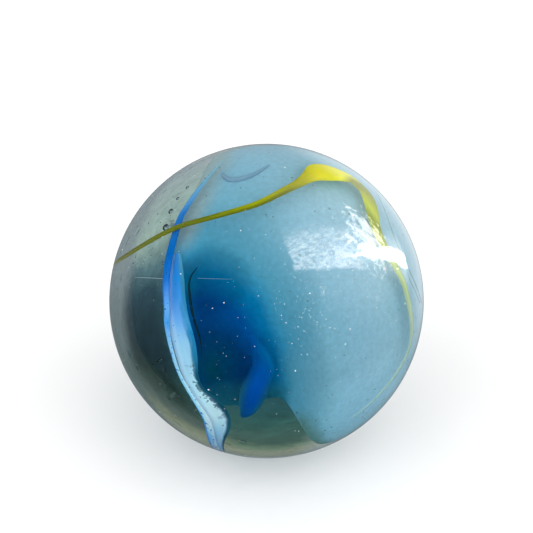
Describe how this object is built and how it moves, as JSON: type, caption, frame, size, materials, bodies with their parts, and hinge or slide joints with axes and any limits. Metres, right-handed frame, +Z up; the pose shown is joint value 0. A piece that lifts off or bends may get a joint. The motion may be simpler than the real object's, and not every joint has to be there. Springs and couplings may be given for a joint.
{
  "type": "glass marble",
  "caption": "Clear glass playing marble: a true ball with streaks of yellow, cobalt and sky-blue glass over a folded veil of milky pale-blue glass.",
  "frame": {"origin": "centre of the ball", "axes": "+Z up; the show face, with the streaks on it, looks to the front (-Y) and 30 degrees above level; +X to the right of someone who faces it"},
  "size_m": [0.016, 0.016, 0.016],
  "materials": {
    "clear_glass": "clear soda-lime glass, fire-polished, with a few seeds and light play wear",
    "yellow_glass": "opaque yellow glass, fused into the ball",
    "cobalt_glass": "dense cobalt-blue glass, fused into the ball",
    "sky_glass": "opaque pale sky-blue glass, fused into the ball",
    "milky_glass": "milky pale-blue glass, deep blue where it folds inwards"
  },
  "bodies": {
    "root": {"clear_glass": "clear_glass", "yellow_ribbon": "yellow_glass", "cobalt_edge": "cobalt_glass", "sky_strip": "sky_glass", "milky_veil": "milky_glass", "cobalt_hook": "cobalt_glass"}
  },
  "joints": []
}
